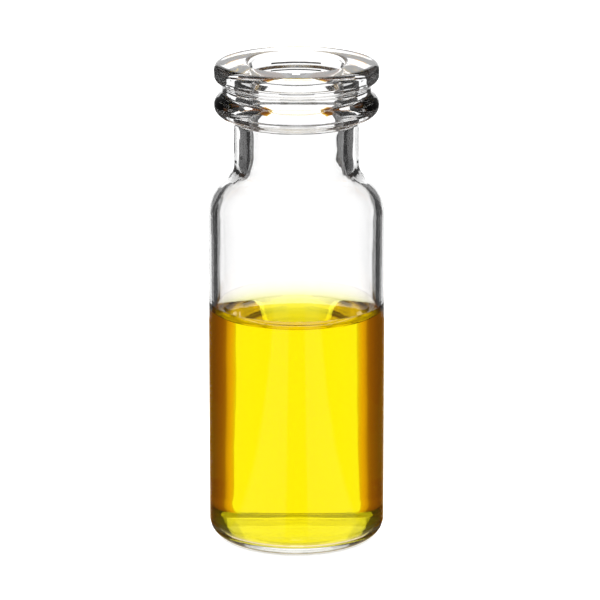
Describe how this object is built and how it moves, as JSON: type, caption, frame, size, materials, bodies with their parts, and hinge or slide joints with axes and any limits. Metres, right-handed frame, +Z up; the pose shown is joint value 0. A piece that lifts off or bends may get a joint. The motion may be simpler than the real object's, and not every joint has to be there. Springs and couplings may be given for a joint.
{
  "type": "glass sample vial",
  "caption": "Small capless glass sample vial with a ringed crown, short neck and round shoulder, half filled with a clear golden liquid.",
  "frame": {"origin": "centre of the foot, on the surface the vial stands on", "axes": "+Z up along the vial's axis towards the mouth; the vial is round about Z, so X and Y are free"},
  "size_m": [0.0116, 0.0116, 0.032],
  "materials": {
    "clear_glass": "clear, smooth, fire-polished",
    "golden_liquid": "clear golden liquid with a smooth wet surface"
  },
  "bodies": {
    "root": {"glass_vial": "clear_glass", "liquid_sample": "golden_liquid"}
  },
  "joints": []
}
